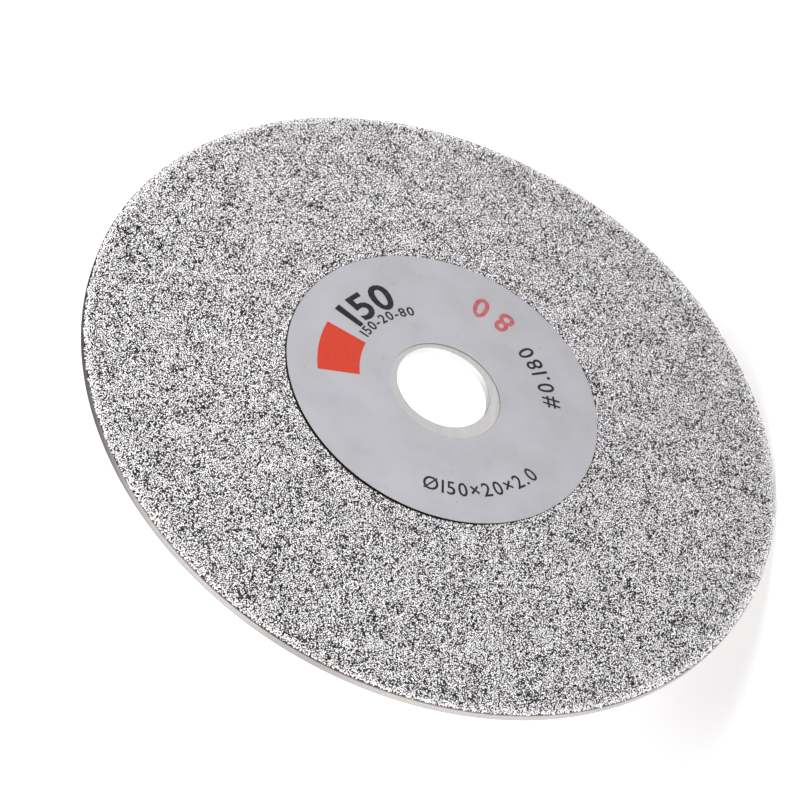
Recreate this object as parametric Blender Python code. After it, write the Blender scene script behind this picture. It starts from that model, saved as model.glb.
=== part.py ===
"""Electroplated diamond flat lap disc: 150 mm across, on a 20 mm arbor.

A thin round steel blank carries a ring of nickel plate on its working face, and the
nickel holds one layer of diamond grit. A round paper label is stuck on the bare middle.

Every piece is modelled lying flat, with local +Z the way the working face looks. The
spindle empty then turns the disc upright: the working face looks along -Y and the disc
spins about the Y axis. The origin is on the spindle axis, halfway through the blank.
"""

from math import hypot, radians

import bmesh
import bpy

MM = 0.001

# Driving dimensions
OUTER_RADIUS = 75.0 * MM
ARBOR_RADIUS = 10.0 * MM
CORE_THICKNESS = 1.8 * MM
CORE_CHAMFER = 0.15 * MM

NICKEL_THICKNESS = 0.10 * MM
NICKEL_INNER_RADIUS = 34.25 * MM
NICKEL_HOLE_CENTRE = (0.80 * MM, -0.15 * MM)  # the plating mask sat slightly off the spindle axis
GRIT_THICKNESS = 0.10 * MM
PLATE_RIM_SETBACK = 0.20 * MM  # how far the plating stops short of the blank's edge
GRIT_SETBACK = 0.10 * MM  # bare nickel left along each edge of the grit
COAT_CHAMFER = 0.05 * MM

LABEL_RADIUS = 33.95 * MM
LABEL_HOLE_RADIUS = 12.0 * MM
LABEL_THICKNESS = 0.10 * MM
LABEL_CENTRE = (0.85 * MM, -0.15 * MM)  # stuck on slightly off the spindle axis
LABEL_HOLE_CENTRE = (-0.70 * MM, -0.50 * MM)  # and punched slightly off its own centre
ADHESIVE_THICKNESS = 0.05 * MM
ADHESIVE_SETBACK = 0.40 * MM  # the glue stops short of the paper's edges
PUNCH_DEPTH = 1.0 * MM

LAYER_GAP = 0.02 * MM  # between one layer and the next
ROUND_STEPS = 144
WELD_DISTANCE = 0.001 * MM
SMOOTH_ANGLE = radians(35)

CORE_FACE = CORE_THICKNESS / 2  # height of the blank's front face
COAT_OUTER_RADIUS = OUTER_RADIUS - PLATE_RIM_SETBACK


def clear_scene():
    for obj in list(bpy.data.objects):
        bpy.data.objects.remove(obj, do_unlink=True)


def finish_material(name, colour, roughness, metallic):
    material = bpy.data.materials.new(name)
    material.use_nodes = True
    shader = material.node_tree.nodes["Principled BSDF"]
    shader.inputs["Base Color"].default_value = (*colour, 1.0)
    shader.inputs["Roughness"].default_value = roughness
    shader.inputs["Metallic"].default_value = metallic
    return material


def new_object(name, mesh, material, parent):
    mesh.materials.append(material)
    obj = bpy.data.objects.new(name, mesh)
    obj.parent = parent
    bpy.context.collection.objects.link(obj)
    return obj


def shade_round(mesh):
    """Smooth round the wall, sharp where it meets a flat."""
    mesh.shade_smooth()
    mesh.set_sharp_from_angle(angle=SMOOTH_ANGLE)


def blank_profile(inner, outer, bottom, top, chamfer):
    """The blank's section as (radius, height) points: a rectangle with all corners cut."""
    return [
        (outer - chamfer, top),
        (outer, top - chamfer),
        (outer, bottom + chamfer),
        (outer - chamfer, bottom),
        (inner + chamfer, bottom),
        (inner, bottom + chamfer),
        (inner, top - chamfer),
        (inner + chamfer, top),
    ]


def coat_profile(inner, outer, bottom, top, chamfer):
    """A thin coat's section: square at the foot and cut at both upper corners."""
    return [
        (outer - chamfer, top),
        (outer, top - chamfer),
        (outer, bottom),
        (inner, bottom),
        (inner, top - chamfer),
        (inner + chamfer, top),
    ]


def shift_hole(ring, centre, split_radius):
    """Moves every corner inside the split radius sideways, so that the ring's hole is off-centre."""
    for corner in ring.verts:
        if hypot(corner.co.x, corner.co.y) < split_radius:
            corner.co.x += centre[0]
            corner.co.y += centre[1]


def turned_ring(name, profile, material, parent, hole_centre=(0.0, 0.0)):
    """Spins a closed section once round local Z, then sets the hole off-centre."""
    ring = bmesh.new()
    corners = [ring.verts.new((radius, 0.0, height)) for radius, height in profile]
    section = [ring.edges.new((corners[i - 1], corners[i])) for i in range(len(corners))]
    bmesh.ops.spin(
        ring,
        geom=corners + section,
        cent=(0.0, 0.0, 0.0),
        axis=(0.0, 0.0, 1.0),
        angle=radians(360),
        steps=ROUND_STEPS,
        use_merge=True,
    )
    bmesh.ops.remove_doubles(ring, verts=ring.verts[:], dist=WELD_DISTANCE)
    bmesh.ops.recalc_face_normals(ring, faces=ring.faces[:])
    reach = [radius for radius, height in profile]
    shift_hole(ring, hole_centre, (min(reach) + max(reach)) / 2)
    mesh = bpy.data.meshes.new(name)
    ring.to_mesh(mesh)
    ring.free()
    shade_round(mesh)
    return new_object(name, mesh, material, parent)


def round_blank(name, radius, thickness, centre, bottom, material, parent):
    """A solid round sheet whose underside is at the given height."""
    mesh = bpy.data.meshes.new(name)
    sheet = bmesh.new()
    bmesh.ops.create_cone(
        sheet,
        cap_ends=True,
        segments=ROUND_STEPS,
        radius1=radius,
        radius2=radius,
        depth=thickness,
    )
    sheet.to_mesh(mesh)
    sheet.free()
    shade_round(mesh)
    obj = new_object(name, mesh, material, parent)
    obj.location = (centre[0], centre[1], bottom + thickness / 2)
    return obj


def punch_hole(obj, radius, centre, parent, material):
    """Punches one round hole right through a sheet."""
    bottom = obj.location.z - PUNCH_DEPTH / 2
    name = obj.name + "_punch"
    cutter = round_blank(name, radius, PUNCH_DEPTH, centre, bottom, material, parent)
    cutter.hide_render = True
    cutter.display_type = "WIRE"
    cut = obj.modifiers.new("Punched hole", "BOOLEAN")
    cut.operation = "DIFFERENCE"
    cut.solver = "EXACT"
    cut.object = cutter


def make_core_plate(spindle):
    """The steel blank: flat, with a small chamfer on each edge of the rim and the arbor hole."""
    steel = finish_material("plated_steel", (0.62, 0.62, 0.61), 0.34, 1.0)
    profile = blank_profile(ARBOR_RADIUS, OUTER_RADIUS, -CORE_FACE, CORE_FACE, CORE_CHAMFER)
    turned_ring("core_plate", profile, steel, spindle)


def make_plating(spindle):
    """The nickel ring on the working face, and the layer of grit that stands out of it."""
    nickel = finish_material("nickel", (0.66, 0.63, 0.59), 0.30, 1.0)
    grit = finish_material("diamond_grit", (0.48, 0.47, 0.46), 0.25, 0.6)
    bottom = CORE_FACE + LAYER_GAP
    top = bottom + NICKEL_THICKNESS
    profile = coat_profile(NICKEL_INNER_RADIUS, COAT_OUTER_RADIUS, bottom, top, COAT_CHAMFER)
    turned_ring("nickel_bond", profile, nickel, spindle, NICKEL_HOLE_CENTRE)

    inner = NICKEL_INNER_RADIUS + GRIT_SETBACK
    outer = COAT_OUTER_RADIUS - GRIT_SETBACK
    bottom = top + LAYER_GAP
    profile = coat_profile(inner, outer, bottom, bottom + GRIT_THICKNESS, COAT_CHAMFER)
    turned_ring("diamond_grit", profile, grit, spindle, NICKEL_HOLE_CENTRE)


def make_label(spindle):
    """The printed paper and the film of glue under it, both with an off-centre hole."""
    glue = finish_material("glue_film", (0.30, 0.26, 0.20), 0.50, 0.0)
    paper = finish_material("label_paper", (0.52, 0.51, 0.54), 0.45, 0.0)
    bottom = CORE_FACE + LAYER_GAP
    film = round_blank(
        "label_adhesive",
        LABEL_RADIUS - ADHESIVE_SETBACK,
        ADHESIVE_THICKNESS,
        LABEL_CENTRE,
        bottom,
        glue,
        spindle,
    )
    film_hole = LABEL_HOLE_RADIUS + ADHESIVE_SETBACK
    punch_hole(film, film_hole, LABEL_HOLE_CENTRE, spindle, glue)

    bottom += ADHESIVE_THICKNESS + LAYER_GAP
    sheet = round_blank(
        "label_sheet", LABEL_RADIUS, LABEL_THICKNESS, LABEL_CENTRE, bottom, paper, spindle
    )
    punch_hole(sheet, LABEL_HOLE_RADIUS, LABEL_HOLE_CENTRE, spindle, paper)


def main():
    clear_scene()
    spindle = bpy.data.objects.new("spindle_axis", None)
    spindle.rotation_euler = (radians(90), 0.0, 0.0)
    bpy.context.collection.objects.link(spindle)
    make_core_plate(spindle)
    make_plating(spindle)
    make_label(spindle)


main()
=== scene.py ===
"""Looks for the electroplated diamond flat lap disc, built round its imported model.

The disc stands upright: its working face looks along -Y and it spins about Y. Pieces are
modelled in the disc's own plane, as (u, v, w), where u is world X, v is world Z and w is
the height towards the viewer, measured from the origin along -Y.
"""

import math

import bmesh
import bpy
import numpy as np
from mathutils import Matrix, Vector, noise


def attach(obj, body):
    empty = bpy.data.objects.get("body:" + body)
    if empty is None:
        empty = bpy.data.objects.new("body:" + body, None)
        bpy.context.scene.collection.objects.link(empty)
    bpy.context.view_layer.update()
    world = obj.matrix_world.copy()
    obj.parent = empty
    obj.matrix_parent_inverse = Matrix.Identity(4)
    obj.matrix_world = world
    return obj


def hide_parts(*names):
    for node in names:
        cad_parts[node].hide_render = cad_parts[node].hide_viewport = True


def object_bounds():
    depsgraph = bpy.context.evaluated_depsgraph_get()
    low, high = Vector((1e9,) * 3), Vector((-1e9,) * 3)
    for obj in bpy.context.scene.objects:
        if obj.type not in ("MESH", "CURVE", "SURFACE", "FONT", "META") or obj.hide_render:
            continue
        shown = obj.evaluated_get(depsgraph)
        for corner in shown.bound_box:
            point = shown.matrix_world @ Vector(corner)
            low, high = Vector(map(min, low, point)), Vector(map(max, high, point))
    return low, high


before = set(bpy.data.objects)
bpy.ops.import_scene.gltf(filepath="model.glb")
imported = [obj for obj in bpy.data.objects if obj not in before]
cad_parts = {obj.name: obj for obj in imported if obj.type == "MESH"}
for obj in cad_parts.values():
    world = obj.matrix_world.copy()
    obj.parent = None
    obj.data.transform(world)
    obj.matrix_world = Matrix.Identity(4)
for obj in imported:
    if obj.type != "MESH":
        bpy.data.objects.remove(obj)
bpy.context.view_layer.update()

MM = 0.001
BODY = "root"
FULL_TURN = 2 * math.pi
HOLE_SHARE = 0.6  # every ring's hole lies inside this share of its outer radius
SMOOTH_ANGLE = math.radians(40)

# Steel blank
CORE_STEPS = 360
EDGE_RADIUS = 0.14 * MM
EDGE_ARC_STEPS = 5
SHADING_STRIP = 0.06 * MM  # narrow flat strip that keeps a rounded edge's shading off the face
FACE_RINGS = 26
PLATE_WAVE = 0.012 * MM  # how far the blank's back is from dead flat
WAVE_LENGTHS = (45 * MM, 14 * MM)
WAVE_FADE = (12 * MM, 4 * MM)  # the waves die out this near the bore, and this near the rim

# Steel's finish
STREAK_FADE = (12.5 * MM, 20.0 * MM)  # the grain is faint inside the first, full past the second
SIDE_WALL = (0.06 * MM, 0.01 * MM)  # in from the rim: where the wall's painted tone starts and is full
BORE_WALL = (0.02 * MM, 0.08 * MM)  # out from the bore: where the wall's tone is full and ends
RIM_SHADE_WIDTH = 0.34 * MM  # of the brown painted shade along the rim's front edge
RIM_SHADE_SKIN = (0.10 * MM, 0.22 * MM)  # depths under the front face between which it ends
RIM_SHADE_OVERRUN = 0.10 * MM  # past the rim
RIM_SHADE_SOFTNESS = 0.03 * MM
# Painted shade: a near-black ring on the blank's face beside the label, seen in the gap by its loose
# edge
GAP_SHADE_START = 30.0 * MM  # a radius well under the label
GAP_SHADE_MARGIN = 0.1 * MM  # past the nickel's inner edge
GAP_SHADE_SKIN = (0.10 * MM, 0.16 * MM)  # depths under the front face between which it ends
GAP_SHADE_SOFTNESS = 0.3 * MM

# Nickel and crystals
BOND_PITCH = 0.5 * MM
BOND_LUMPS = 0.018 * MM  # how high the nickel's lumps stand
BOND_LUMP_LENGTH = 0.9 * MM
BOND_EDGE_DROP = 0.03 * MM  # rounds off the nickel's two edges
CRYSTAL_PITCH = 0.295 * MM
CRYSTAL_JITTER = 0.30  # share of the pitch
CRYSTAL_SIZE = (0.12 * MM, 0.20 * MM)  # from middle to corner
CRYSTAL_STRETCH = (0.75, 1.2)  # along each of its own axes
CRYSTAL_LIFT = (-0.02 * MM, 0.05 * MM)  # of its middle above its seat
CRYSTAL_GAPS = 0.05  # share of places with no crystal
STEEL_SEAT = 0.05 * MM  # above the blank's face, for crystals that spilt inside the nickel
RIM_SPREAD = 0.12 * MM  # how far past the grit ring's edge a crystal's middle may lie
LABEL_MARGIN = 0.10 * MM  # bare steel kept all round the label
SHADE_CRYSTAL_SHARE = 0.20  # share of crystals painted dark as shade, on average
SHADE_CLUMPS = 0.34  # how far small clumps move that share
SHADE_CLOUDS = 0.20  # how far wider clouds move it
SHADE_LIMITS = (0.03, 0.8)
CLUMP_LENGTH = 1.1 * MM
CLOUD_LENGTHS = (5.0 * MM, 2.4 * MM)
BRIGHT_RIM = 1.8 * MM  # how far in from the rim fewer crystals are painted as shade, so they look paler
RIM_SHADE_LEFT = 0.05  # how much of the painted-shade share is left at the rim itself
RIM_GROWTH = 0.25  # how much larger the crystals are at the rim itself
SECTORS = 12
GRIT_SEED = 80

# Label
LABEL_STEPS = 240
LABEL_RINGS = 34
LABEL_EDGE_DROP = 0.02 * MM  # rounds off the paper's cut edges
LABEL_RIPPLE = 0.004 * MM
RIPPLE_LENGTH = 9 * MM
CUT_EDGE = (0.030 * MM, 0.045 * MM)  # depths under the paper's face between which it turns cream
LABEL_LIFT = 0.16 * MM  # how far the loose edge stands up
LABEL_LIFT_WIDTH = 4.0 * MM
LABEL_LIFT_SIDE = math.radians(148)  # the side of the disc where the edge is loose
LOOSE_SIDE_SHARPNESS = 1.5  # power that narrows the loose side
BARE_GAP = 0.50 * MM  # more bare steel, between the loose edge and the crystals
INK_THICKNESS = 0.012 * MM
INK_WELD = 0.0005 * MM

# Print, placed round the spindle axis at angles from world X towards world Z
RED_BLOCK_ENDS = (math.radians(103), math.radians(75))
RED_BLOCK_RADII = (18.2 * MM, 27.2 * MM)
RED_BLOCK_STEPS = 24
FIGURES = {
    # name: (text, middle in degrees, radius, height, tops point out, weight, spacing, ink)
    "print_size": ("150", 51.0, 24.4 * MM, 6.4 * MM, True, 0.022, 0.18, "black"),
    "print_number": ("150-20-80", 48.0, 19.6 * MM, 2.2 * MM, True, 0.018, 0.16, "black"),
    "print_dimensions": ("Ø150×20×2.0", 205.5, 25.4 * MM, 3.2 * MM, False, 0.01, 0.12, "black"),
    "print_grain": ("#0.180", -62.0, 23.8 * MM, 3.4 * MM, False, 0.01, 0.14, "black"),
    "stamped_grit": ("80", -20.0, 25.4 * MM, 5.6 * MM, False, 0.02, 0.26, "stamp"),
}

# Room, in metres and watts. A direction is one part of a unit vector away from the disc.
ROOM_COLOUR = (0.98, 0.96, 0.96, 1.0)
ROOM_LIGHT = 0.11
ROOM_RISE = (-0.1, 0.5)  # directions along Y between which it brightens to the backdrop
BACKDROP_LIGHT = (0.12, 1.05)  # behind the disc, from its right to its left
BACKDROP_SIDES = (0.4, -0.5)  # the directions along X of those two
WHITE_LIGHT = 1.1  # what the camera sees behind the disc
FLOOR_RADIUS = 4.0
FLOOR_STEPS = 96
FLOOR_GAP = 0.4 * MM
FLOOR_GLOW = (0.44, 0.95)  # near the disc, and away from it
FLOOR_GLOW_RADII = (0.10, 0.50)
DISC_CENTRE = (0.0, 0.0, 0.0)
SOFTBOXES = {
    # name: (place, width, power, colour)
    "key_softbox": ((-0.15, -0.30, 0.40), 0.40, 2.9, (0.94, 0.97, 1.0)),
    "top_softbox": ((0.0, 0.05, 1.60), 1.4, 4.0, (1.0, 1.0, 1.0)),
    "back_softbox": ((-0.55, 1.00, 0.80), 1.0, 2.3, (1.0, 1.0, 1.0)),
}

# Camera: places in metres, roll in degrees, lens and sensor in millimetres
CAMERA_PLACE = (-0.2804, -0.3053, 0.0894)
CAMERA_AIM = (0.0016, -0.0005, 0.0200)
CAMERA_ROLL = -71.66
CAMERA_LENS = 93.31
CAMERA_SHIFT = (0.06, -0.06)  # shares of the frame
SENSOR_WIDTH = 36.0
CLIP_START = 0.01


# ---------------------------------------------------------------- reading the frame


def ring_of(node):
    """Outer and inner circles of a flat ring node, and the heights of its two faces."""
    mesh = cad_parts[node].data
    points = np.zeros(len(mesh.vertices) * 3)
    mesh.vertices.foreach_get("co", points)
    points = points.reshape(-1, 3)
    plane = points[:, [0, 2]]
    middle = (plane.min(0) + plane.max(0)) / 2
    reach = np.hypot(*(plane - middle).T)
    outer = reach.max()
    inside = plane[reach < outer * HOLE_SHARE]
    hole = (inside.min(0) + inside.max(0)) / 2
    return {
        "centre": middle,
        "outer": outer,
        "hole_centre": hole,
        "inner": np.hypot(*(inside - hole).T).min(),
        "top": -points[:, 1].min(),
        "bottom": -points[:, 1].max(),
    }


CORE = ring_of("core_plate")
NICKEL = ring_of("nickel_bond")
GRIT = ring_of("diamond_grit")
LABEL = ring_of("label_sheet")


# ---------------------------------------------------------------- mesh helpers


def to_world(local):
    """(u, v, w) rows to world rows."""
    local = np.asarray(local, float)
    return np.stack([local[:, 0], -local[:, 2], local[:, 1]], 1)


def mesh_object(name, points, faces, materials, indices=None, smooth=False):
    """A mesh piece from world points and rows of 3 or 4 corners, riding on the disc."""
    faces = np.asarray(faces, np.int32)
    corners = faces.shape[1]
    mesh = bpy.data.meshes.new(name)
    mesh.vertices.add(len(points))
    mesh.vertices.foreach_set("co", np.asarray(points, np.float32).ravel())
    mesh.loops.add(faces.size)
    mesh.loops.foreach_set("vertex_index", faces.ravel())
    mesh.polygons.add(len(faces))
    mesh.polygons.foreach_set("loop_start", np.arange(0, faces.size, corners, dtype=np.int32))
    for material in materials:
        mesh.materials.append(material)
    if indices is not None:
        mesh.polygons.foreach_set("material_index", np.asarray(indices, np.int32))
    mesh.update(calc_edges=True)
    mesh.validate()
    if smooth:
        mesh.shade_smooth()
        mesh.set_sharp_from_angle(angle=SMOOTH_ANGLE)
    else:
        mesh.shade_flat()
    obj = bpy.data.objects.new(name, mesh)
    bpy.context.scene.collection.objects.link(obj)
    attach(obj, BODY)
    return obj


def lattice_faces(rows, columns, wrap_rows=False):
    """Quads of a grid whose columns close into a ring, and whose rows may close too."""
    row = np.arange(rows if wrap_rows else rows - 1)[:, None]
    column = np.arange(columns)[None, :]
    next_row = (row + 1) % rows
    next_column = (column + 1) % columns
    quads = [
        row * columns + column,
        row * columns + next_column,
        next_row * columns + next_column,
        next_row * columns + column,
    ]
    return np.stack([np.broadcast_to(q, (len(row), columns)) for q in quads], -1).reshape(-1, 4)


def soft_noise(u, v, scale, seed):
    """Smooth noise between about -1 and 1 over the disc's plane. The seed picks its pattern."""
    flat = [
        noise.noise(Vector((x / scale, y / scale, seed)))
        for x, y in zip(np.ravel(u), np.ravel(v))
    ]
    return np.array(flat).reshape(np.shape(u))


def loose_share(du, dv):
    """One in the direction of the label's loose edge, falling to zero at right angles to it."""
    towards = np.cos(np.arctan2(dv, du) - LABEL_LIFT_SIDE)
    return np.clip(towards, 0, 1) ** LOOSE_SIDE_SHARPNESS


# ---------------------------------------------------------------- material helpers


class Nodes:
    """A short way to write a material's node tree."""

    def __init__(self, name):
        self.material = bpy.data.materials.new(name)
        self.material.use_nodes = True
        self.tree = self.material.node_tree
        self.shader = self.tree.nodes["Principled BSDF"]
        self.place = self.tree.nodes.new("ShaderNodeTexCoord").outputs["Object"]

    def set(self, **values):
        """Sets the shader's own sockets, an underscore standing for a space."""
        for name, value in values.items():
            self.shader.inputs[name.replace("_", " ")].default_value = value

    def add(self, kind, settings=(), **inputs):
        """Adds a node. Inputs go by name, or i0 and i1 where a node's inputs share one name."""
        node = self.tree.nodes.new("ShaderNode" + kind)
        for name, value in dict(settings).items():
            setattr(node, name, value)
        for name, value in inputs.items():
            if name in ("i0", "i1"):
                socket = node.inputs[int(name[1])]
            else:
                socket = node.inputs[name.replace("_", " ")]
            if isinstance(value, bpy.types.NodeSocket):
                self.tree.links.new(value, socket)
            else:
                socket.default_value = value
        return node

    def stretched(self, x, y, z):
        """Object coordinates scaled on each axis, for streaks."""
        return self.add("Mapping", Vector=self.place, Scale=(x, y, z)).outputs[0]

    def noise(self, scale, detail=3.0, roughness=0.5, vector=None):
        """Noise between 0 and 1, its scale in waves per metre."""
        node = self.add(
            "TexNoise",
            Vector=vector or self.place,
            Scale=scale,
            Detail=detail,
            Roughness=roughness,
        )
        return node.outputs["Fac"]

    def math(self, operation, a, b=0.0):
        return self.add("Math", {"operation": operation}, i0=a, i1=b).outputs[0]

    def remap(self, value, low, high, to_low=0.0, to_high=1.0):
        """Takes low to to_low and high to to_high, and holds those values outside."""
        node = self.add(
            "MapRange",
            Value=value,
            From_Min=low,
            From_Max=high,
            To_Min=to_low,
            To_Max=to_high,
        )
        return node.outputs[0]

    def mix(self, share, a, b):
        """Colour a, moved towards colour b by the share."""
        node = self.add("Mix", {"data_type": "RGBA"})
        for socket, value in ((node.inputs[0], share), (node.inputs[6], a), (node.inputs[7], b)):
            if isinstance(value, bpy.types.NodeSocket):
                self.tree.links.new(value, socket)
            else:
                socket.default_value = (*value, 1.0) if isinstance(value, tuple) else value
        return node.outputs[2]

    def radius(self):
        """Distance from the spindle axis, in metres."""
        split = self.add("SeparateXYZ", Vector=self.place)
        x = self.math("MULTIPLY", split.outputs["X"], split.outputs["X"])
        z = self.math("MULTIPLY", split.outputs["Z"], split.outputs["Z"])
        return self.math("SQRT", self.math("ADD", x, z))

    def radius_from_centre(self):
        """Distance from the piece's own origin, in metres."""
        return self.add("VectorMath", {"operation": "LENGTH"}, i0=self.place).outputs["Value"]

    def depth(self):
        """World Y, which runs from the working face to the back."""
        return self.add("SeparateXYZ", Vector=self.place).outputs["Y"]

    def band(self, value, low, high, soft):
        """One between low and high, fading to zero over the soft distance."""
        rise = self.remap(value, low - soft, low)
        fall = self.remap(value, high, high + soft, 1.0, 0.0)
        return self.math("MULTIPLY", rise, fall)

    def scratches(self, directions):
        """Thin straight scratches, a few along each (angle about Y, seed)."""
        long_and_thin = (16.0, 60.0, 1900.0)
        total = None
        for angle, seed in directions:
            turned = self.add(
                "Mapping", Vector=self.place, Location=(seed, 0.0, seed), Rotation=(0.0, angle, 0.0)
            ).outputs[0]
            drawn = self.add("Mapping", Vector=turned, Scale=long_and_thin).outputs[0]
            line = self.remap(self.noise(1.0, 0.0, 0.5, drawn), 0.80, 0.83)
            total = line if total is None else self.math("MAXIMUM", total, line)
        return total

    def colour(self, socket):
        self.tree.links.new(socket, self.shader.inputs["Base Color"])

    def roughness(self, socket):
        self.tree.links.new(socket, self.shader.inputs["Roughness"])

    def bump(self, height, distance, strength=1.0):
        node = self.add("Bump", Height=height, Distance=distance, Strength=strength)
        self.tree.links.new(node.outputs[0], self.shader.inputs["Normal"])


# ---------------------------------------------------------------- materials


STEEL_COLOURS = {
    "dull": (0.41, 0.400, 0.402),
    "clean": (0.50, 0.487, 0.490),
    "grain": (0.34, 0.332, 0.333),
    "tide_mark": (0.30, 0.285, 0.27),
    "pit": (0.20, 0.185, 0.175),
    "scratch": (0.66, 0.655, 0.65),
    # painted tone for how the lights fall on the rim's wall
    "side_wall_painted_tone": (0.50, 0.484, 0.470),
    "bore_wall": (0.86, 0.85, 0.85),
    # painted shade: the brown line along the rim's front edge
    "rim_edge_shade": (0.17, 0.135, 0.12),
    # painted shade: the near-black ring beside the label
    "label_gap_shade": (0.035, 0.028, 0.022),
}


def near_front(m, skin, amount):
    """The amount at the blank's front face, fading to zero between the two depths of the skin."""
    front = -CORE["top"]
    return m.remap(m.depth(), front + skin[0], front + skin[1], amount, 0.0)


def steel_walls(m, base):
    """Gives the base colour with the rim wall's painted tone for how light falls on it, the bore
    wall's tone, and the bore wall's mask.
    """
    # Painted tone on the rim's wall, set for how the lights fall on it.
    rim = m.remap(m.radius(), CORE["outer"] - SIDE_WALL[0], CORE["outer"] - SIDE_WALL[1])
    base = m.mix(m.math("MULTIPLY", rim, 0.7), base, STEEL_COLOURS["side_wall_painted_tone"])
    bore = m.remap(
        m.radius(), CORE["inner"] + BORE_WALL[0], CORE["inner"] + BORE_WALL[1], 1.0, 0.0
    )
    return m.mix(bore, base, STEEL_COLOURS["bore_wall"]), bore


def steel_painted_shades(m, base):
    """Painted shade: a brown line along the rim's front edge, and a near-black ring beside the label.
    """
    # Painted shade: a brown line along the rim's front edge.
    rim_start = CORE["outer"] - RIM_SHADE_WIDTH
    rim_end = CORE["outer"] + RIM_SHADE_OVERRUN
    rim = m.band(m.radius(), rim_start, rim_end, RIM_SHADE_SOFTNESS)
    rim_shade = m.math("MULTIPLY", rim, near_front(m, RIM_SHADE_SKIN, 0.8))
    base = m.mix(rim_shade, base, STEEL_COLOURS["rim_edge_shade"])
    # Painted shade: a near-black ring round the label, seen in the gap by its loose edge.
    off_centre = np.hypot(*NICKEL["hole_centre"])
    gap_shade_end = NICKEL["inner"] + off_centre + GAP_SHADE_MARGIN
    label_gap_shade = m.band(m.radius(), GAP_SHADE_START, gap_shade_end, GAP_SHADE_SOFTNESS)
    label_gap_shade = m.math("MULTIPLY", label_gap_shade, near_front(m, GAP_SHADE_SKIN, 1.0))
    return m.mix(label_gap_shade, base, STEEL_COLOURS["label_gap_shade"])


def steel_material():
    """Nickel-flashed rolled steel: grain, stains, scratches, a painted tone on the rim's wall, and
    painted shade as a brown line at the rim's front edge and a near-black ring beside the label.
    """
    m = Nodes("plated_steel_finish")
    m.set(Metallic=1.0)
    grain = m.noise(1.0, 5.0, 0.65, m.stretched(30.0, 400.0, 2100.0))
    fine = m.noise(1.0, 3.0, 0.6, m.stretched(160.0, 2000.0, 5200.0))
    cloud = m.noise(26.0, 5.0, 0.62)
    tide = m.band(m.noise(17.0, 2.0, 0.4), 0.500, 0.508, 0.010)
    pit = m.remap(m.noise(650.0, 2.0, 0.5), 0.70, 0.76)
    scratches = m.scratches(((0.35, 3.1), (1.25, 0.7), (-0.70, 1.3), (2.2, 2.3)))
    streaks = m.math(
        "MULTIPLY",
        m.remap(grain, 0.30, 0.70, 0.0, 0.6),
        m.remap(m.radius(), *STREAK_FADE, 0.35, 1.0),
    )
    base = m.mix(m.remap(cloud, 0.36, 0.66), STEEL_COLOURS["dull"], STEEL_COLOURS["clean"])
    base = m.mix(streaks, base, STEEL_COLOURS["grain"])
    base = m.mix(m.math("MULTIPLY", tide, 0.12), base, STEEL_COLOURS["tide_mark"])
    base = m.mix(m.math("MULTIPLY", pit, 0.6), base, STEEL_COLOURS["pit"])
    base = m.mix(m.math("MULTIPLY", scratches, 0.35), base, STEEL_COLOURS["scratch"])
    base, bore_wall = steel_walls(m, base)
    m.colour(steel_painted_shades(m, base))
    worn = m.remap(m.math("ADD", grain, cloud), 0.7, 1.3, 0.24, 0.42)
    worn = m.math("ADD", worn, m.math("MULTIPLY", bore_wall, 0.3))
    m.roughness(m.math("SUBTRACT", worn, m.math("MULTIPLY", scratches, 0.08)))
    height = m.math("ADD", grain, m.math("MULTIPLY", fine, 0.5))
    height = m.math("SUBTRACT", height, m.math("MULTIPLY", m.math("ADD", scratches, pit), 0.8))
    m.bump(height, 0.005 * MM, 0.7)
    return m.material


def nickel_material():
    """Electroplated nickel between the crystals, painted near-black as the shade between them: darker
    in its hollows, with painted light on its lumps.
    """
    m = Nodes("nickel_with_painted_shade")
    m.set(Metallic=1.0)
    lumps = m.noise(4200.0, 3.0)
    patches = m.noise(60.0, 3.0)
    # Painted shade: near-black nickel stands in for the shade between the crystals; hollows painted
    # darker and lumps lighter.
    shade_dark = m.mix(m.remap(patches, 0.35, 0.65), (0.022, 0.020, 0.019), (0.05, 0.045, 0.041))
    m.colour(m.mix(m.remap(lumps, 0.45, 0.75), shade_dark, (0.20, 0.19, 0.18)))
    m.roughness(m.remap(lumps, 0.3, 0.7, 0.30, 0.55))
    m.bump(lumps, 0.03 * MM, 0.8)
    return m.material


CRYSTAL_KINDS = {
    # name: (colour, roughness, metallic, IOR, share of the bright ones, share of the dark ones)
    "white": ((0.97, 0.95, 0.96), 0.25, 0.0, 2.0, 0.54, 0.0),
    "pale": ((0.84, 0.81, 0.82), 0.22, 0.0, 2.0, 0.16, 0.0),
    "cool": ((0.84, 0.88, 0.93), 0.22, 0.0, 2.0, 0.08, 0.0),
    "mirror": ((0.96, 0.95, 0.96), 0.12, 1.0, 2.0, 0.08, 0.0),
    "rose": ((0.86, 0.74, 0.72), 0.25, 0.0, 1.9, 0.10, 0.0),
    "amber": ((0.74, 0.68, 0.58), 0.25, 0.0, 1.9, 0.04, 0.0),
    # The dark and black kinds are painted shade, standing in for the shade between the crystals.
    "shade_dark": ((0.05, 0.046, 0.044), 0.45, 0.0, 1.35, 0.0, 0.40),
    "black": ((0.008, 0.007, 0.007), 0.55, 0.0, 1.25, 0.0, 0.60),
}
BRIGHT_COLUMN = 4  # where a kind's two shares stand in its row
SHADE_COLUMN = 5


def crystal_materials():
    """One finish for each kind of crystal. Each crystal is far smaller than any pattern on it."""
    made = []
    for name, (colour, roughness, metallic, ior, _, _) in CRYSTAL_KINDS.items():
        material = bpy.data.materials.new("crystal_" + name)
        material.use_nodes = True
        shader = material.node_tree.nodes["Principled BSDF"]
        shader.inputs["Base Color"].default_value = (*colour, 1.0)
        shader.inputs["Roughness"].default_value = roughness
        shader.inputs["Metallic"].default_value = metallic
        shader.inputs["IOR"].default_value = ior
        made.append(material)
    return made


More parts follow.
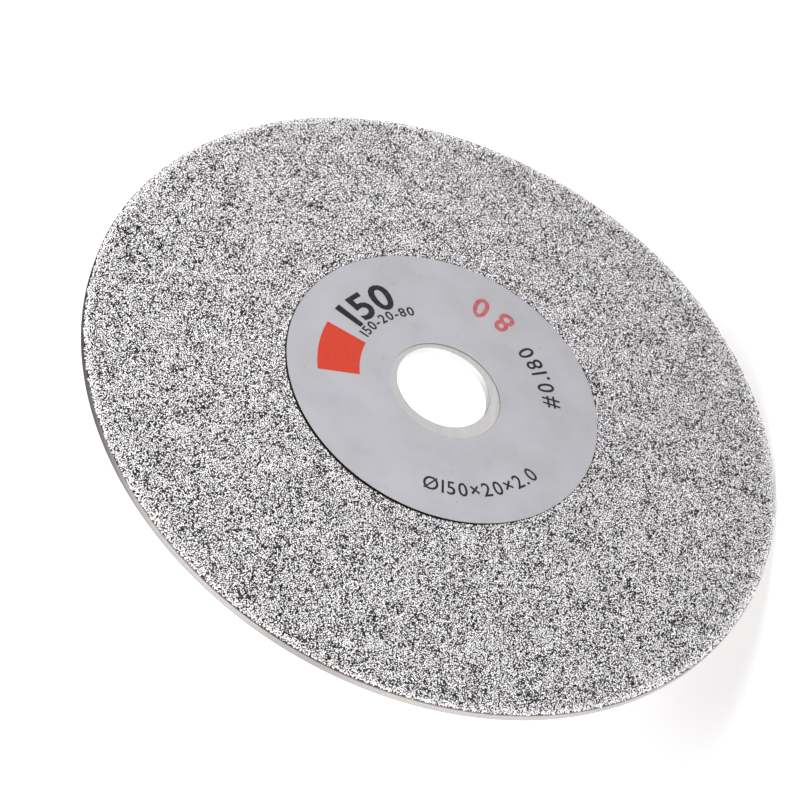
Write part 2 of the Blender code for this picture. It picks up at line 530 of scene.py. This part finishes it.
def paper_material():
    """Silvery coated paper: smooth, faintly mottled, cream where its cut edge shows."""
    m = Nodes("label_paper_finish")
    cloud = m.noise(95.0, 4.0, 0.55)
    fibre = m.noise(1400.0, 3.0, 0.6, m.stretched(1.0, 1.0, 0.35))
    speck = m.noise(420.0, 2.0)
    base = m.mix(m.remap(cloud, 0.38, 0.66), (0.350, 0.340, 0.360), (0.396, 0.386, 0.411))
    base = m.mix(m.remap(fibre, 0.4, 0.75, 0.0, 0.22), base, (0.42, 0.41, 0.43))
    base = m.mix(m.remap(speck, 0.70, 0.78, 0.0, 0.35), base, (0.24, 0.23, 0.24))
    face = -LABEL["top"]
    cut = m.remap(m.depth(), face + CUT_EDGE[0], face + CUT_EDGE[1])
    m.colour(m.mix(cut, base, (0.66, 0.62, 0.52)))
    m.roughness(m.remap(cloud, 0.3, 0.7, 0.38, 0.52))
    m.bump(fibre, 0.006 * MM, 0.5)
    return m.material


def glue_material():
    """Dried glue: brown, blotched and uneven."""
    m = Nodes("glue_film_finish")
    blotch = m.noise(500.0, 3.0)
    m.colour(m.mix(blotch, (0.05, 0.04, 0.03), (0.13, 0.10, 0.07)))
    m.roughness(m.remap(blotch, 0.3, 0.7, 0.35, 0.6))
    m.bump(blotch, 0.01 * MM, 0.5)
    return m.material


def ink_material(name, colour, thin_colour, thin_share):
    """Printing ink that lets some of the paper through where it lies thin."""
    m = Nodes(name)
    patchy = m.noise(900.0, 4.0, 0.65)
    cover = m.remap(patchy, 0.62 - thin_share, 0.72, 0.0, 1.0)
    m.colour(m.mix(cover, colour, thin_colour))
    m.set(Specular_IOR_Level=0.2)
    m.roughness(m.remap(patchy, 0.3, 0.7, 0.45, 0.65))
    m.bump(patchy, 0.004 * MM, 0.4)
    return m.material


# ---------------------------------------------------------------- steel blank


def rounded_section():
    """The blank's section as (radius, height) rows, with rounded corners and rings on both faces."""
    inner = CORE["inner"]
    outer = CORE["outer"]
    top = CORE["top"]
    bottom = CORE["bottom"]
    inset = EDGE_RADIUS + SHADING_STRIP
    rings = np.linspace(inner + inset, outer - inset, FACE_RINGS)

    def corner(radius, height, start):
        angles = start - np.linspace(0, math.pi / 2, EDGE_ARC_STEPS + 1)
        return [
            (radius + EDGE_RADIUS * math.cos(a), height + EDGE_RADIUS * math.sin(a))
            for a in angles
        ]

    section = [(r, top) for r in rings]
    section += corner(outer - EDGE_RADIUS, top - EDGE_RADIUS, math.pi / 2)
    section += corner(outer - EDGE_RADIUS, bottom + EDGE_RADIUS, 0.0)
    section += [(r, bottom) for r in rings[::-1]]
    section += corner(inner + EDGE_RADIUS, bottom + EDGE_RADIUS, -math.pi / 2)
    section += corner(inner + EDGE_RADIUS, top - EDGE_RADIUS, math.pi)
    return np.array(section)


def build_core(material):
    """The steel blank: rounded edges, and on its back the slight waviness of pressed plate."""
    section = rounded_section()
    turn = np.arange(CORE_STEPS) / CORE_STEPS * FULL_TURN
    radius, angle = np.meshgrid(section[:, 0], turn, indexing="ij")
    height = np.repeat(section[:, 1:], CORE_STEPS, 1)
    u = radius * np.cos(angle)
    v = radius * np.sin(angle)
    wave = soft_noise(u, v, WAVE_LENGTHS[0], 1.0) + 0.35 * soft_noise(u, v, WAVE_LENGTHS[1], 2.0)
    free = np.clip((radius - CORE["inner"]) / WAVE_FADE[0], 0, 1)
    free *= np.clip((CORE["outer"] - radius) / WAVE_FADE[1], 0, 1)
    on_back = height < CORE["bottom"] + SHADING_STRIP / 2
    height = height + PLATE_WAVE * wave * free * on_back
    local = np.stack([u.ravel(), v.ravel(), height.ravel()], 1)
    faces = lattice_faces(len(section), CORE_STEPS, wrap_rows=True)
    obj = mesh_object("steel_blank", to_world(local), faces, [material], smooth=True)
    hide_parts("core_plate")


# ---------------------------------------------------------------- nickel and crystals


def bond_height(u, v):
    """Height of the nickel's lumps above and below its even face."""
    return BOND_LUMPS * soft_noise(u, v, BOND_LUMP_LENGTH, 5.0)


def build_bond(material):
    """The nickel ring, its upper surface lumped between the crystals."""
    rows = int((NICKEL["outer"] - NICKEL["inner"]) / BOND_PITCH)
    columns = int(FULL_TURN * (NICKEL["outer"] + NICKEL["inner"]) / 2 / BOND_PITCH)
    turn = np.arange(columns) / columns * FULL_TURN
    ring = np.stack([np.cos(turn), np.sin(turn)], 1)
    hole = NICKEL["hole_centre"] + NICKEL["inner"] * ring
    share = np.linspace(0.0, 1.0, rows)[:, None, None]
    flat = hole[None] * (1 - share) + NICKEL["outer"] * ring[None] * share
    u = flat[..., 0]
    v = flat[..., 1]
    lumps = bond_height(u, v)
    lumps[[0, -1]] -= BOND_EDGE_DROP
    top = NICKEL["top"] + lumps
    foot = np.full((2, columns), NICKEL["bottom"])
    u = np.concatenate([u, u[[-1, 0]]])
    v = np.concatenate([v, v[[-1, 0]]])
    height = np.concatenate([top, foot])
    local = np.stack([u.ravel(), v.ravel(), height.ravel()], 1)
    faces = lattice_faces(rows + 2, columns, wrap_rows=True)
    obj = mesh_object("nickel_plating", to_world(local), faces, [material], smooth=True)
    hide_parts("nickel_bond")


def crystal_shapes():
    """Two blocky closed shapes of unit size: (corners, triangles)."""
    octahedron = (
        np.array([(1, 0, 0), (-1, 0, 0), (0, 1, 0), (0, -1, 0), (0, 0, 1), (0, 0, -1)], float),
        np.array(
            [(0, 2, 4), (2, 1, 4), (1, 3, 4), (3, 0, 4), (2, 0, 5), (1, 2, 5), (3, 1, 5), (0, 3, 5)]
        ),
    )
    side = 1 / math.sqrt(3)
    block = (
        side
        * np.array([(x, y, z) for z in (-1, 1) for y in (-1, 1) for x in (-1, 1)], float),
        np.array(
            [
                (0, 2, 1), (1, 2, 3), (4, 5, 6), (5, 7, 6),
                (0, 1, 4), (1, 5, 4), (2, 6, 3), (3, 6, 7),
                (0, 4, 2), (2, 4, 6), (1, 3, 5), (3, 7, 5),
            ]
        ),
    )
    return octahedron, block


def random_turns(rng, count):
    """That many random rotation matrices."""
    q = rng.normal(size=(count, 4))
    q /= np.linalg.norm(q, axis=1, keepdims=True)
    w, x, y, z = q.T
    rows = [
        [1 - 2 * (y * y + z * z), 2 * (x * y - z * w), 2 * (x * z + y * w)],
        [2 * (x * y + z * w), 1 - 2 * (x * x + z * z), 2 * (y * z - x * w)],
        [2 * (x * z - y * w), 2 * (y * z + x * w), 1 - 2 * (x * x + y * y)],
    ]
    return np.array([[np.broadcast_to(c, count) for c in row] for row in rows]).transpose(2, 0, 1)


def scatter_places(rng):
    """Crystal places: a close-packed pattern shaken until no rows show."""
    outer = GRIT["outer"]
    across = np.arange(-outer, outer, CRYSTAL_PITCH)
    up = np.arange(-outer, outer, CRYSTAL_PITCH * math.sqrt(3) / 2)
    u, v = np.meshgrid(across, up)
    u = u + (np.arange(len(up)) % 2)[:, None] * CRYSTAL_PITCH / 2
    places = np.stack([u.ravel(), v.ravel()], 1)
    places += rng.normal(size=places.shape) * CRYSTAL_PITCH * CRYSTAL_JITTER
    from_label = np.hypot(*(places - LABEL["centre"]).T)
    bare_radius = LABEL["outer"] + LABEL_MARGIN + BARE_GAP * loose_share(*places.T)
    keep = np.hypot(*places.T) < outer + RIM_SPREAD
    keep &= from_label > bare_radius
    keep &= rng.random(len(places)) > CRYSTAL_GAPS
    return places[keep]


def shade_crystal_share(places):
    """How likely a crystal is to be one of the dark kinds that paint shade: clumped, and rarer
    towards the rim.
    """
    u, v = places.T
    clumps = soft_noise(u, v, CLUMP_LENGTH, 11.0)
    clouds = soft_noise(u, v, CLOUD_LENGTHS[0], 12.0)
    clouds += 0.8 * soft_noise(u, v, CLOUD_LENGTHS[1], 13.0)
    share = SHADE_CRYSTAL_SHARE + SHADE_CLUMPS * clumps + SHADE_CLOUDS * clouds
    from_rim = (GRIT["outer"] - np.hypot(u, v)) / BRIGHT_RIM
    return np.clip(share, *SHADE_LIMITS) * np.clip(from_rim, RIM_SHADE_LEFT, 1.0)


def pick_kinds(rng, count, column):
    """A kind for each crystal, drawn by the shares in one column of the table of kinds."""
    shares = np.array([kind[column] for kind in CRYSTAL_KINDS.values()])
    return rng.choice(len(shares), count, p=shares / shares.sum())


def build_crystals(materials):
    """The diamond layer: each crystal a closed faceted block, half sunk in the nickel."""
    rng = np.random.default_rng(GRIT_SEED)
    places = scatter_places(rng)
    count = len(places)
    turns = random_turns(rng, count)
    sizes = rng.uniform(*CRYSTAL_SIZE, count)[:, None]
    sizes = sizes * rng.uniform(*CRYSTAL_STRETCH, (count, 3))
    from_rim = (GRIT["outer"] - np.hypot(*places.T)) / BRIGHT_RIM
    sizes *= 1 + RIM_GROWTH * np.clip(1 - from_rim, 0, 1)[:, None]
    shape_of = rng.integers(0, 2, count)
    # Crystals of the dark kinds are painted shade; fewer of them near the rim paints the rim lighter.
    kind_of = np.where(
        rng.random(count) < shade_crystal_share(places),
        pick_kinds(rng, count, SHADE_COLUMN),
        pick_kinds(rng, count, BRIGHT_COLUMN),
    )
    from_hole = np.hypot(*(places - NICKEL["hole_centre"]).T)
    seat = np.where(from_hole > NICKEL["inner"], NICKEL["top"], CORE["top"] + STEEL_SEAT)
    height = rng.uniform(*CRYSTAL_LIFT, count) + seat
    middle = np.stack([places[:, 0], places[:, 1], height], 1)
    sector = ((np.arctan2(places[:, 1], places[:, 0]) / FULL_TURN + 0.5) * SECTORS).astype(int)
    sector = np.clip(sector, 0, SECTORS - 1)
    made = []
    for index in range(SECTORS):
        points = []
        faces = []
        finish = []
        base = 0
        for shape, (corners, triangles) in enumerate(crystal_shapes()):
            own = np.flatnonzero((sector == index) & (shape_of == shape))
            scaled = corners[None] * sizes[own, None, :]
            local = np.einsum("nij,nkj->nki", turns[own], scaled) + middle[own, None, :]
            points.append(local.reshape(-1, 3))
            starts = base + np.arange(len(own)) * len(corners)
            faces.append((starts[:, None, None] + triangles[None]).reshape(-1, 3))
            finish.append(np.repeat(kind_of[own], len(triangles)))
            base += len(own) * len(corners)
        made.append(
            mesh_object(
                f"diamond_crystals_{index + 1:02d}",
                to_world(np.concatenate(points)),
                np.concatenate(faces),
                materials,
                indices=np.concatenate(finish),
            )
        )
    for piece in made:
        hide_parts("diamond_grit")


# ---------------------------------------------------------------- label


def label_lift(u, v):
    """How far the paper stands up off the glue, towards its loose edge."""
    du = u - LABEL["centre"][0]
    dv = v - LABEL["centre"][1]
    from_edge = LABEL["outer"] - np.hypot(du, dv)
    rise = np.clip(1 - from_edge / LABEL_LIFT_WIDTH, 0, 1) ** 2
    return LABEL_LIFT * rise * loose_share(du, dv)


def build_label(material):
    """The label: thin paper with an off-centre punched hole and one edge lifting."""
    turn = np.arange(LABEL_STEPS) / LABEL_STEPS * FULL_TURN
    ring = np.stack([np.cos(turn), np.sin(turn)], 1)
    hole = LABEL["hole_centre"] + LABEL["inner"] * ring
    rim = LABEL["centre"] + LABEL["outer"] * ring
    # Narrow strips at the hole and the rim hold the cut edges.
    share = np.concatenate([[0.0, 0.002], np.linspace(0.02, 0.98, LABEL_RINGS), [0.998, 1.0]])
    flat = hole[None] * (1 - share[:, None, None]) + rim[None] * share[:, None, None]
    u = flat[..., 0]
    v = flat[..., 1]
    lift = label_lift(u, v) + LABEL_RIPPLE * soft_noise(u, v, RIPPLE_LENGTH, 8.0)
    top = LABEL["top"] + lift
    top[[0, -1]] -= LABEL_EDGE_DROP
    under = LABEL["bottom"] + lift
    local_top = np.stack([u, v, top], -1)
    local_under = np.stack([u, v, under], -1)[::-1]
    local = np.concatenate([local_top, local_under]).reshape(-1, 3)
    faces = lattice_faces(2 * len(share), LABEL_STEPS, wrap_rows=True)
    obj = mesh_object("paper_label", to_world(local), faces, [material], smooth=True)
    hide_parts("label_sheet")


def glyph_mesh(character, weight):
    """One character as a solid: its outline in em units, one unit thick."""
    curve = bpy.data.curves.new("glyph", "FONT")
    curve.body = character
    curve.size = 1.0
    curve.offset = weight
    curve.resolution_u = 4
    curve.extrude = 0.5
    obj = bpy.data.objects.new("glyph", curve)
    bpy.context.scene.collection.objects.link(obj)
    bpy.context.view_layer.update()
    evaluated = obj.evaluated_get(bpy.context.evaluated_depsgraph_get())
    mesh = bpy.data.meshes.new_from_object(evaluated)
    bpy.data.objects.remove(obj)
    bpy.data.curves.remove(curve)
    return mesh


def ink_height(u, v, share):
    """Height of the ink, from its foot on the paper, share 0, to its face, share 1."""
    return LABEL["top"] + float(label_lift(u, v)) + share * INK_THICKNESS


def arc_text(name, text, middle_angle, radius, height, material, tops_out, weight, spacing):
    """Characters set round the spindle axis, as a thin film of ink on the label.

    With tops_out their tops point away from the axis, and otherwise towards it. The weight
    and the spacing are in em units.
    """
    meshes = [glyph_mesh(c, weight) for c in text]
    widths = []
    lefts = []
    for mesh in meshes:
        xs = [p.co.x for p in mesh.vertices]
        widths.append(max(xs) - min(xs))
        lefts.append(min(xs))
    cap = max(p.co.y for p in meshes[0].vertices)
    scale = height / cap
    length = (sum(widths) + spacing * (len(text) - 1)) * scale
    direction = -1 if tops_out else 1
    base_radius = radius - height / 2 if tops_out else radius + height / 2
    angle = middle_angle - direction * length / radius / 2
    joined = bmesh.new()
    for mesh, width, left in zip(meshes, widths, lefts):
        step = width * scale / radius
        at = angle + direction * step / 2
        for p in mesh.vertices:
            along = (p.co.x - left - width / 2) * scale
            rise = p.co.y * scale
            reach = base_radius + rise if tops_out else base_radius - rise
            turn = at + direction * along / base_radius
            u = reach * math.cos(turn)
            v = reach * math.sin(turn)
            p.co = (u, -ink_height(u, v, p.co.z + 0.5), v)
        joined.from_mesh(mesh)
        angle = at + direction * (step / 2 + spacing * scale / radius)
        bpy.data.meshes.remove(mesh)
    bmesh.ops.remove_doubles(joined, verts=joined.verts[:], dist=INK_WELD)
    bmesh.ops.recalc_face_normals(joined, faces=joined.faces[:])
    ink_object(name, joined, material)


def ink_object(name, joined, material):
    """A piece of print from a finished bmesh, riding on the disc."""
    mesh = bpy.data.meshes.new(name)
    joined.to_mesh(mesh)
    joined.free()
    mesh.materials.append(material)
    mesh.shade_flat()
    obj = bpy.data.objects.new(name, mesh)
    bpy.context.scene.collection.objects.link(obj)
    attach(obj, BODY)


def arc_block(name, ends, radii, steps, material):
    """A printed block bounded by two arcs, as a thin film of ink on the label."""
    start, end = ends
    rows = []
    for share in (0.0, 1.0):
        for radius in radii:
            for i in range(steps + 1):
                turn = start + (end - start) * i / steps
                u = radius * math.cos(turn)
                v = radius * math.sin(turn)
                rows.append((u, -ink_height(u, v, share), v))
    joined = bmesh.new()
    verts = [joined.verts.new(p) for p in rows]
    n = steps + 1
    low_in, low_out, high_in, high_out = (verts[k * n:(k + 1) * n] for k in range(4))
    for i in range(steps):
        joined.faces.new((high_in[i], high_in[i + 1], high_out[i + 1], high_out[i]))
        joined.faces.new((low_in[i], low_out[i], low_out[i + 1], low_in[i + 1]))
        joined.faces.new((low_in[i], low_in[i + 1], high_in[i + 1], high_in[i]))
        joined.faces.new((low_out[i], high_out[i], high_out[i + 1], low_out[i + 1]))
    for i in (0, steps):
        joined.faces.new((low_in[i], high_in[i], high_out[i], low_out[i]))
    bmesh.ops.recalc_face_normals(joined, faces=joined.faces[:])
    ink_object(name, joined, material)


def build_print():
    """Generic print: figures for size and grit, and a plain red block. No words or marks."""
    red = ink_material("ink_red_finish", (0.52, 0.038, 0.016), (0.47, 0.065, 0.040), 0.12)
    inks = {
        "black": ink_material("ink_black_finish", (0.012, 0.011, 0.013), (0.045, 0.043, 0.047), 0.10),
        "stamp": ink_material("ink_stamp_finish", (0.45, 0.050, 0.055), (0.37, 0.17, 0.19), 0.26),
    }
    arc_block("print_red_block", RED_BLOCK_ENDS, RED_BLOCK_RADII, RED_BLOCK_STEPS, red)
    for name, (text, degrees, radius, height, tops_out, weight, spacing, ink) in FIGURES.items():
        turn = math.radians(degrees)
        arc_text(name, text, turn, radius, height, inks[ink], tops_out, weight, spacing)


# ---------------------------------------------------------------- stage


def build_floor():
    """A wide lit white table just under the disc."""
    m = Nodes("floor_finish")
    grain = m.noise(30.0, 2.0)
    m.colour(m.mix(grain, (0.93, 0.93, 0.93), (0.96, 0.96, 0.96)))
    m.set(Roughness=0.9, Emission_Color=(1.0, 0.975, 0.965, 1.0))
    glow = m.remap(m.radius_from_centre(), *FLOOR_GLOW_RADII, *FLOOR_GLOW)
    m.tree.links.new(glow, m.shader.inputs["Emission Strength"])
    mesh = bpy.data.meshes.new("floor")
    disc = bmesh.new()
    bmesh.ops.create_circle(disc, cap_ends=True, segments=FLOOR_STEPS, radius=FLOOR_RADIUS)
    disc.to_mesh(mesh)
    disc.free()
    mesh.materials.append(m.material)
    floor = bpy.data.objects.new("floor", mesh)
    floor.location.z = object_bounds()[0][2] - FLOOR_GAP
    bpy.context.scene.collection.objects.link(floor)


def aim_matrix(place, target, roll=0.0):
    """A matrix that looks from place to target, then rolls about that line."""
    forward = (Vector(target) - Vector(place)).normalized()
    right = forward.cross(Vector((0, 0, 1))).normalized()
    up = right.cross(forward)
    turn = math.radians(roll)
    rolled_up = up * math.cos(turn) - right * math.sin(turn)
    rolled_right = forward.cross(rolled_up)
    axes = Matrix((rolled_right, rolled_up, -forward)).transposed().to_4x4()
    return Matrix.Translation(place) @ axes


def build_lights():
    """Square softboxes that look at the disc."""
    for name, (place, width, power, colour) in SOFTBOXES.items():
        light = bpy.data.lights.new(name, "AREA")
        light.shape = "SQUARE"
        light.size = width
        light.energy = power
        light.color = colour
        obj = bpy.data.objects.new(name, light)
        obj.matrix_world = aim_matrix(place, DISC_CENTRE)
        obj.visible_camera = False
        bpy.context.scene.collection.objects.link(obj)


def direction_range(tree, value, low, high):
    """Maps one part of a direction, from low to high, onto two results that the caller sets."""
    node = tree.nodes.new("ShaderNodeMapRange")
    node.inputs["From Min"].default_value = low
    node.inputs["From Max"].default_value = high
    tree.links.new(value, node.inputs["Value"])
    return node


def build_world():
    """White for the camera, and for reflections a dim room that brightens behind the disc."""
    world = bpy.data.worlds.new("studio")
    world.use_nodes = True
    tree = world.node_tree
    direction = tree.nodes.new("ShaderNodeTexCoord")
    split = tree.nodes.new("ShaderNodeSeparateXYZ")
    tree.links.new(direction.outputs["Generated"], split.inputs[0])
    across = direction_range(tree, split.outputs["X"], *BACKDROP_SIDES)
    across.inputs["To Min"].default_value = BACKDROP_LIGHT[0]
    across.inputs["To Max"].default_value = BACKDROP_LIGHT[1]
    rise = direction_range(tree, split.outputs["Y"], *ROOM_RISE)
    rise.inputs["To Min"].default_value = ROOM_LIGHT
    tree.links.new(across.outputs[0], rise.inputs["To Max"])
    room = tree.nodes["Background"]
    room.inputs["Color"].default_value = ROOM_COLOUR
    tree.links.new(rise.outputs[0], room.inputs["Strength"])
    backdrop = tree.nodes.new("ShaderNodeBackground")
    backdrop.inputs["Color"].default_value = (1.0, 1.0, 1.0, 1.0)
    backdrop.inputs["Strength"].default_value = WHITE_LIGHT
    ray = tree.nodes.new("ShaderNodeLightPath")
    mix = tree.nodes.new("ShaderNodeMixShader")
    tree.links.new(ray.outputs["Is Camera Ray"], mix.inputs[0])
    tree.links.new(room.outputs[0], mix.inputs[1])
    tree.links.new(backdrop.outputs[0], mix.inputs[2])
    tree.links.new(mix.outputs[0], tree.nodes["World Output"].inputs["Surface"])
    bpy.context.scene.world = world


def build_camera():
    """A long lens that looks at the working face from its left, rolled well over."""
    data = bpy.data.cameras.new("camera")
    data.lens = CAMERA_LENS
    data.sensor_width = SENSOR_WIDTH
    data.shift_x, data.shift_y = CAMERA_SHIFT
    data.clip_start = CLIP_START
    camera = bpy.data.objects.new("camera", data)
    camera.matrix_world = aim_matrix(CAMERA_PLACE, CAMERA_AIM, CAMERA_ROLL)
    bpy.context.scene.collection.objects.link(camera)
    bpy.context.scene.camera = camera


def main():
    """Builds the camera, the disc's pieces and their finishes, and the studio."""
    bpy.context.scene.view_settings.view_transform = "Standard"
    build_camera()
    build_core(steel_material())
    build_bond(nickel_material())
    build_crystals(crystal_materials())
    build_label(paper_material())
    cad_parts["label_adhesive"].data.materials[0] = glue_material()
    build_print()
    build_floor()
    build_lights()
    build_world()


main()
